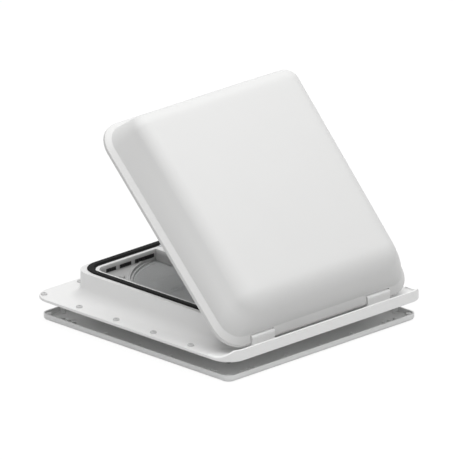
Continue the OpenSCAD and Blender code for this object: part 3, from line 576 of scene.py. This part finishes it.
def blend(a, b, share):
    """The level that lies a share of the way from one level to another."""
    return [tuple(p + (q - p) * share for p, q in zip(u, v)) for u, v in zip(a, b)]


def shoulder(inset, share):
    """Round of the shoulder, from the top (0) to where the wall starts (1)."""
    top, free_end, nose_end = 88, 17, 31

    def corner(centre, end):
        """One corner round of the ring, from its centre in section."""
        x, y, r, h = centre
        turn = math.radians(top + (end - top) * share)
        return x, y, (r - inset) * math.cos(turn), h + (r - inset) * math.sin(turn)

    return level(corner(FREE_SHOULDER, free_end), corner(NOSE_SHOULDER, nose_end))


def thinned(corner, inset):
    """A corner round whose radius is less by an inset."""
    x, y, r, h = corner
    return x, y, r - inset, h


def foot(inset):
    """Where the wall meets the brim."""
    return level(thinned(FREE_FOOT, inset), thinned(NOSE_FOOT, inset))


def rim(inset, height):
    """The brim's outer edge, at a height of its own."""
    x, free_y = FREE_FOOT[:2]
    return level((x, free_y, RIM_R - inset, height), (x, NOSE_RIM_Y, RIM_R - inset, NOSE_RIM_RISE * height))


def wall(inset, share):
    """Wall from the shoulder (0) to the foot (1): straight, but full at the sides of the nose."""
    top, low = shoulder(inset, 1), foot(inset)
    middle = blend(top, low, 0.5)
    full = level(middle[0], thinned(NOSE_FULL, inset))
    return blend(blend(top, full, share), blend(full, low, share), share)


def rounded(levels, passes):
    """Cuts the corners of a run of levels, and keeps its two ends."""
    for _ in range(passes):
        softer = [levels[0]]
        for a, b in zip(levels, levels[1:]):
            softer += [blend(a, b, 0.25), blend(a, b, 0.75)]
        levels = softer + [levels[-1]]
    return levels


def lid_levels():
    """Levels from the crown down the lid's outside and round its rim, and levels up its inside."""
    arcs, outer_steps, inner_steps = 7, 5, 3
    outer = [shoulder(0, k / arcs) for k in range(arcs + 1)]
    outer += [wall(0, k / outer_steps) for k in range(1, outer_steps)]
    # The brim's levels run out along it, down its edge and in below, and are then rounded.
    edge = rim(0, BRIM_H)
    brim = [wall(0, 0.96), foot(0), blend(foot(0), edge, 0.1), blend(foot(0), edge, 0.85), edge]
    brim += [rim(0, 3.5), rim(0, 1), rim(0, 0), rim(LID_WALL, 0)]
    inner = [rim(LID_WALL, BRIM_H), foot(LID_WALL)]
    inner += [wall(LID_WALL, k / inner_steps) for k in range(inner_steps - 1, 0, -1)]
    inner += [shoulder(LID_WALL, k / arcs) for k in range(arcs, -1, -1)]
    return outer + rounded(brim, 2), inner


def level_ring(corners, arc=8, side=20):
    """Points round one level, counted from the free right corner."""
    ring = []
    for k, (x, y, r, h) in enumerate(corners):
        for i in range(arc + 1):
            turn = math.radians(90 * k + 90 * i / arc)
            ring.append(Vector((x + r * math.cos(turn), y + r * math.sin(turn), h)))
        x2, y2, r2, h2 = corners[(k + 1) % 4]
        turn = math.radians(90 * (k + 1))
        start = ring[-1]
        end = Vector((x2 + r2 * math.cos(turn), y2 + r2 * math.sin(turn), h2))
        ring += [start.lerp(end, i / side) for i in range(1, side)]
    return ring


def crowned(point, inset):
    """Lifts a point of the dome by the soft crown over its middle."""
    crown, mid_y, half_length = 2.4, 2, 174
    x, _, r, foot_h = FREE_FOOT
    share = min(max((point.z - foot_h) / (LID_TOP - inset - foot_h), 0), 1)
    across = max(0, 1 - (point.x / (x + r)) ** 2)
    along = max(0, 1 - ((point.y - mid_y) / half_length) ** 2) ** 1.5
    return point + Vector((0, 0, crown * share * share * across * along))


def cap(ring):
    """Rings that grow from the middle of the crown to its edge."""
    mid_y = 10
    shares = [0.04, 0.12, 0.22, 0.34, 0.47, 0.6, 0.72, 0.83, 0.92]
    return [[Vector((p.x * s, mid_y + (p.y - mid_y) * s, p.z)) for p in ring] for s in shares]


def lid_skin():
    """The dome as one closed skin, extruded level by level from a ring at the crown."""
    outer, inner = ([level_ring(corners) for corners in side] for side in lid_levels())
    outer = [[crowned(p, 0) for p in ring] for ring in cap(outer[0]) + outer]
    inner = [[crowned(p, LID_WALL) for p in ring] for ring in inner + cap(inner[-1])[::-1]]
    rings = outer + inner

    def spot(point):
        """A point as a key, to find it again after an extrusion."""
        return tuple(round(c, 4) for c in point)

    piece = disc(rings[0])
    open_mesh(piece, "VERT")
    bpy.ops.mesh.select_all(action="SELECT")
    bpy.ops.mesh.select_mode(type="EDGE")
    bpy.ops.mesh.region_to_loop()
    for last, ring in zip(rings, rings[1:]):
        bpy.ops.mesh.extrude_edges_move()
        mesh = bmesh.from_edit_mesh(piece.data)
        moved = {spot(p): q for p, q in zip(last, ring)}
        for v in mesh.verts:
            if v.select:
                v.co = moved[spot(v.co)]
        bmesh.update_edit_mesh(piece.data)
    bpy.ops.mesh.edge_face_add()
    face_outwards()
    close_mesh()
    return piece


def hinge_bar(outline, x, width):
    """A bar along the hinge axis, with an outline of (y, z) points about it."""
    piece = disc([(x - width / 2, HINGE.y + y, z) for y, z in outline])
    open_mesh(piece, "FACE")
    bpy.ops.mesh.select_all(action="SELECT")
    bpy.ops.mesh.extrude_region_move(TRANSFORM_OT_translate={"value": (width, 0, 0)})
    face_outwards()
    close_mesh()
    return piece


def tab_notch(x):
    """What a hinge tab sweeps, seen from the lid, with a millimetre to spare."""
    front, back, low, high = -12, 9, -12, 9
    spokes, swing_steps = 90, 24
    far, flat = 1e9, 1e-6
    outline = []
    for k in range(spokes):
        turn = math.radians(360 / spokes * k)
        reach = 0
        for step in range(swing_steps):
            t = turn + LID_OPEN * step / (swing_steps - 1)
            c, s = math.cos(t), math.sin(t)
            to_side = (back if c > 0 else front) / c if abs(c) > flat else far
            to_top = (high if s > 0 else low) / s if abs(s) > flat else far
            reach = max(reach, min(to_side, to_top))
        outline.append((reach * math.cos(turn), reach * math.sin(turn)))
    return hinge_bar(outline, x, TAB_ROOM)


def hinge_lug(x):
    """Lug beside a hinge tab: a web into the dome and an eye with the pin's bore."""
    web = [(6, 0.5), (9.6, 20), (7, 20), (3.6, 10.8), (-5.4, 5), (-5.4, 0.6)]
    turns = [math.radians(a) for a in range(185, 360, 12)]
    eye = [(LUG_R * math.cos(turn), LUG_R * math.sin(turn)) for turn in turns]
    piece = hinge_bar(web + eye, x, LUG_W)
    trim(piece, rod(PIN_BORE_R, (x - LUG_W, HINGE.y, 0), (x + LUG_W, HINGE.y, 0)))
    return round_edges(piece, 0.5, angle=40)


def screw_boss(x, y):
    """Boss in the dome that takes a lid frame screw, with a flared root."""
    end, root, boss_r, root_r = 31.3, 56.5, 4, 6.4
    hole_r, hole_from, hole_to = 1.5, 25, 39
    near = 0.5
    piece = rod(boss_r, (x, y, end), (x, y, root))
    open_mesh(piece)
    pick_edges(piece, lambda a, b: a.z > root - near and b.z > root - near)
    flare = root_r / boss_r
    bpy.ops.transform.resize(value=(flare, flare, 1), center_override=(x, y, root))
    pick_edges(piece, lambda a, b: abs(a.z - b.z) > 1)
    bpy.ops.mesh.subdivide(number_cuts=4)
    mesh = bmesh.from_edit_mesh(piece.data)
    for v in mesh.verts:
        share = (v.co.z - end) / (root - end)
        if 0.1 < share < 0.9:
            away = Vector((v.co.x - x, v.co.y - y, 0)).normalized()
            v.co = Vector((x, y, v.co.z)) + away * (boss_r + (root_r - boss_r) * share ** 6)
    bmesh.update_edit_mesh(piece.data)
    close_mesh()
    return trim(piece, rod(hole_r, (x, y, hole_from), (x, y, hole_to), 20))


def make_lid():
    """The dome, notched for the hinge tabs, with its lugs and screw bosses."""
    skin = lid_skin()
    tabs = (-TAB_X, TAB_X)
    trim(skin, join([tab_notch(x) for x in tabs]))
    lugs = [hinge_lug(x + side * LUG_OUT) for x in tabs for side in (-1, 1)]
    bosses = [screw_boss(x * LID_SCREW_AT, y * LID_SCREW_AT) for x, y in CORNERS]
    lid = join([skin] + lugs + bosses)
    lid.data.transform(SHUT_TO_OPEN @ Matrix.Translation((0, 0, HINGE.z)))
    fit(lid, "lid_dome", "lid_shell", smooth_angle=38)


# Net
SPINDLE_Y = joints["crank_turn"]["pos_m"][1] * 1000


def make_net():
    """Gauze of crossing strands, cut to the ring and round the spindle's hub."""
    reach = box_mm("insect_net")[1].x
    hub_r, pitch, strand_r, shortest = 8, 1.5, 0.16, 1
    upper_z, lower_z = 22.83, 22.58
    along_x, along_y = (0, math.pi / 2, 0), (math.pi / 2, 0, 0)
    let_go()
    bpy.ops.mesh.primitive_circle_add(vertices=6, radius=strand_r)
    net = bpy.context.object
    open_mesh(net, "VERT")
    bpy.ops.mesh.select_all(action="SELECT")
    bpy.ops.mesh.delete(type="VERT")

    def spans(half, off, hub_at):
        """Stretches of a strand that passes the hub's middle at a distance."""
        if abs(off) >= hub_r:
            return [(-half, half)]
        gap = math.sqrt(hub_r ** 2 - off ** 2)
        return [(-half, hub_at - gap), (hub_at + gap, half)]

    def lay(start, end, turn):
        """Adds a strand to the net, unless it is too short to matter."""
        start, end = Vector(start), Vector(end)
        if (end - start).length < shortest:
            return
        bpy.ops.mesh.primitive_cylinder_add(
            vertices=6, radius=strand_r, depth=(end - start).length,
            location=(start + end) / 2, rotation=turn,
        )

    count = int(reach / pitch)
    for k in range(-count, count + 1):
        line = k * pitch
        half = math.sqrt(reach ** 2 - line ** 2)
        for a, b in spans(half, line - SPINDLE_Y, 0):
            lay((a, line, upper_z), (b, line, upper_z), along_x)
        for a, b in spans(half, line, SPINDLE_Y):
            lay((line, a, lower_z), (line, b, lower_z), along_y)
    close_mesh()
    fit(net, "net_gauze", "insect_net", smooth_angle=50)


# Screws, most of which share a radius
SMALL_R = 1.5


def screw_head(head_r, head_h):
    """Pan head with a cross recess, its underside at z = 0."""
    dome, near = 0.62 * head_h, 0.01
    head = rod(head_r, (0, 0, 0), (0, 0, head_h))
    open_mesh(head)
    pick_edges(head, lambda a, b: a.z > head_h - near and b.z > head_h - near)
    bpy.ops.mesh.bevel(offset=dome, segments=5, affect="EDGES", profile=0.5)
    close_mesh()
    arm, wide, floor, above = 0.52 * head_r, 0.14 * head_r, 0.4 * head_h, head_h + 1
    cross = block((-arm, -wide, floor), (arm, wide, above))
    trim(cross, block((-wide, -arm, floor), (wide, arm, above)), "UNION")
    return trim(head, cross)


def screw_shank(r, length, pitch, neck):
    """Turned thread below a plain neck, with a blunt point at the end."""
    sunk, core, tip_share = 0.05, 0.76, 0.25
    let_go()
    bpy.ops.mesh.primitive_circle_add(vertices=20, radius=r, fill_type="NGON", location=(0, 0, sunk))
    shank = settle(bpy.context.object)
    open_mesh(shank, "FACE")
    bpy.ops.mesh.select_all(action="SELECT")
    steps = max(4, int(4 * length / pitch))
    step = -(length + sunk) / steps
    for _ in range(steps):
        bpy.ops.mesh.extrude_region_move(TRANSFORM_OT_translate={"value": (0, 0, step)})
    mesh = bmesh.from_edit_mesh(shank.data)
    tip = length - r
    for v in mesh.verts:
        depth = -v.co.z
        if depth < neck:
            continue
        turn = math.atan2(v.co.y, v.co.x) / (2 * math.pi)
        wave = abs(((depth / pitch - turn) % 1) * 2 - 1)
        size = r * (core + (1 - core) * wave)
        if depth > tip:
            size *= max(tip_share, 1 - (1 - tip_share) * (depth - tip) / r)
        away = Vector((v.co.x, v.co.y, 0)).normalized()
        v.co.x, v.co.y = away.x * size, away.y * size
    bmesh.update_edit_mesh(shank.data)
    face_outwards()
    close_mesh()
    return shank


def set_screws(name, node, pattern, places):
    """Copies a screw to its places, each turned a little further, and joins the copies."""
    first_turn, next_turn = 20, 67
    made = []
    for k, place in enumerate(places):
        copy = copy_mesh(f"{name}_{k}", pattern.data)
        turn = Matrix.Rotation(math.radians((k * next_turn + first_turn) % 180), 4, "Z")
        copy.data.transform(place @ turn)
        made.append(copy)
    bpy.data.objects.remove(pattern)
    fit(join(made), name, node, smooth_angle=40)


def make_screw(r, length, head_r, head_h, pitch=1.1, neck=0.0):
    """A screw along z, point down, with the underside of its head at z = 0."""
    return join([screw_head(head_r, head_h), screw_shank(r, length, pitch, neck)])


def screw_place(x, y, z, up=False):
    """A screw's place, with its point down, or up."""
    turn = Matrix.Rotation(math.pi, 4, "X") if up else Matrix.Identity(4)
    return Matrix.Translation((x, y, z)) @ turn


def upright_screws(name, node, r, head_r, head_h, spots, up=False, pitch=1.1, neck=0.0):
    """Screws along z, whose length and seat come from their CAD node."""
    low, high = box_mm(node)
    length = high.z - low.z - head_h
    seat = low.z + head_h if up else high.z - head_h
    pattern = make_screw(r, length, head_r, head_h, pitch, neck)
    set_screws(name, node, pattern, [screw_place(x, y, seat, up) for x, y in spots])


def in_from(node, head_r):
    """Screw centres at the four corners of a CAD node's box, in by a head's radius."""
    _, high = box_mm(node)
    return [(x * (high.x - head_r), y * (high.y - head_r)) for x, y in CORNERS]


def make_flange_screws():
    """Two rows along the sides, one along the free side and one screw in each free corner."""
    sides = mounts["studs_inner"]["dims"]
    r, line, pitch = sides["stud_r_mm"], sides["spacing_x_mm"] / 2, sides["spacing_y_mm"] / 2
    corner = mounts["studs_corner"]["dims"]["spacing_x_mm"] / 2
    odd = (-3, -1, 1, 3)
    spots = [(s * line, k * pitch) for s in (-1, 1) for k in odd]
    spots += [(k * pitch, line) for k in odd] + [(-corner, corner), (corner, corner)]
    head_r, head_h = 2.2 * r, 1.1 * r
    upright_screws("flange_pan_screws", "flange_screws", r, head_r, head_h, spots, pitch=1.4, neck=4)


def make_bar_screws():
    """One screw in each end tab of the bar."""
    head_r, head_h = 2.4, 1.5
    y = box_mm("cross_bar")[1].y - head_r
    upright_screws("bar_pan_screws", "bar_screws", SMALL_R, head_r, head_h, [(0, -y), (0, y)])


def make_cover_screws():
    """Two screws side by side in the gear cover."""
    head_r, head_h = 2.7, 1.35
    low, high = box_mm("cover_screws")
    x, y = high.x - head_r, (low.y + high.y) / 2
    upright_screws("cover_pan_screws", "cover_screws", SMALL_R, head_r, head_h, [(-x, y), (x, y)])


def make_lid_screws():
    """Screws up into the bosses of the dome, which swing open with it."""
    length, head_h = 10, 1.5
    spots = [(x * LID_SCREW_AT, y * LID_SCREW_AT) for x, y in CORNERS]
    places = [SHUT_TO_OPEN @ screw_place(x, y, LID_SCREW_SEAT, up=True) for x, y in spots]
    pattern = make_screw(SMALL_R, length, LID_SCREW_HEAD_R, head_h)
    set_screws("lid_pan_screws", "lid_screws", pattern, places)


def make_rail_screws():
    """Screws square to the rail, which rises from the hinge axis at a slope when the lid is shut."""
    slope, seat, half_w, ends = math.radians(6.8), 7.55, 11, (215.1, 281.95)
    along = SHUT_TO_OPEN @ Matrix.Translation(HINGE) @ Matrix.Rotation(slope, 4, "X")
    places = [along @ screw_place(x, y, seat, up=True) for x in (-half_w, half_w) for y in ends]
    length, head_r, head_h = 6.5, 2.4, 1.5
    set_screws("rail_pan_screws", "rail_screws", make_screw(SMALL_R, length, head_r, head_h), places)


def make_net_screws():
    """Four screws up into the corner decks, through the ears of the net's hoop."""
    head_r, head_h = 3, 1.5
    spots = in_from("net_screws", head_r)
    upright_screws("net_pan_screws", "net_screws", SMALL_R, head_r, head_h, spots, up=True)


def make_clamp_screws():
    """Four long screws from the trim up into the roof frame."""
    r, head_r, head_h = 1.75, 3.85, 2
    spots = in_from("clamp_screws", head_r)
    upright_screws("clamp_pan_screws", "clamp_screws", r, head_r, head_h, spots, up=True, pitch=1.3)


def make_knob_screw():
    """The screw that holds the knob on its spindle."""
    r, head_r, head_h = 1.4, 2.85, 1.5
    upright_screws("knob_pan_screw", "knob_screw", r, head_r, head_h, [(0, SPINDLE_Y)], up=True)


def make_screws():
    make_flange_screws()
    make_bar_screws()
    make_cover_screws()
    make_net_screws()
    make_clamp_screws()
    make_lid_screws()
    make_rail_screws()
    make_knob_screw()


# Mouldings and turned parts
def soften(node, name, width, segments=2, shortest=0.0, crisp=None):
    """A copy of a CAD node with its sharp edges rounded, as a mould or a tool leaves them."""
    piece = copy_mesh(name, nodes[node].data)
    piece.data.transform(FROM_M)
    open_mesh(piece)
    bpy.ops.mesh.select_all(action="SELECT")
    bpy.ops.mesh.remove_doubles(threshold=0.0005)
    close_mesh()
    round_edges(piece, width, segments, shortest, crisp)
    fit(piece, name, node, smooth_angle=50)
    flat_faces_lead(piece)


def upstand_return(point):
    """The low thin end of the upstand, past the flange's corner."""
    corner_x, start_y, end_y, flange_top = 186, -176, -150, 3.9
    return abs(point.x) > corner_x and start_y < point.y < end_y and point.z > flange_top


def make_mouldings():
    """The moulded and pressed parts, each with rounds of its own width."""
    soften("roof_frame", "roof_moulding", 0.7, segments=3, shortest=0.9, crisp=upstand_return)
    soften("interior_frame", "trim_moulding", 0.4, shortest=0.6)
    soften("cross_bar", "bar_moulding", 0.4, shortest=0.6)
    soften("gear_cover", "gear_cap", 0.5)
    soften("net_frame", "net_hoop", 0.35)
    soften("wall_grilles", "grille_slats", 0.25)
    soften("lid_frame", "lid_ring", 0.4, shortest=0.6)
    soften("lid_rail", "rail_channel", 0.4)
    soften("lift_arm", "arm_fork", 0.3)
    soften("crank_knob", "knob_moulding", 0.4)
    soften("crank_handle", "handle_lever", 0.5)


def make_turned_parts():
    """The shafts, pins, bushes and wheels."""
    soften("worm_wheel", "wheel_moulding", 0.15)
    soften("shaft_bushes", "bush_pair", 0.15)
    soften("spindle_bush", "bush_sleeve", 0.15)
    soften("hinge_pins", "pin_pair", 0.3)
    soften("arm_shaft", "shaft_rod", 0.3)
    soften("roller_pin", "roller_rod", 0.3)
    soften("handle_pin", "handle_rod", 0.25)
    soften("arm_roller", "roller_wheel", 0.4)
    soften("crank_spindle", "spindle_rod", 0.25)


def make_seal():
    """The seal, whose lip leans out over the collar at the free side."""
    lean, lean_from, lean_run = 3, 60, 70
    proud, root = 2, 0.5
    seal = copy_mesh("seal_lip", nodes["rim_seal"].data)
    seal.data.transform(FROM_M)
    top = max(v.co.z for v in seal.data.vertices)
    for v in seal.data.vertices:
        free = min(max((v.co.y - lean_from) / lean_run, 0), 1)
        raised = min(max((v.co.z - top + proud) / root, 0), 1)
        v.co.y += lean * raised * free * free * (3 - 2 * free)
    fit(seal, "seal_lip", "rim_seal", smooth_angle=50)


def finish_worm():
    """The worm keeps its CAD form and gets its finish."""
    worm = nodes["drive_worm"].data
    worm.materials.clear()
    worm.materials.append(materials[slot_of["drive_worm"]])


bpy.context.scene.view_settings.view_transform = "Standard"
set_camera()
set_light()
set_floor()
make_lid()
make_net()
make_screws()
make_mouldings()
make_turned_parts()
make_seal()
finish_worm()

let_go()
bpy.context.view_layer.update()
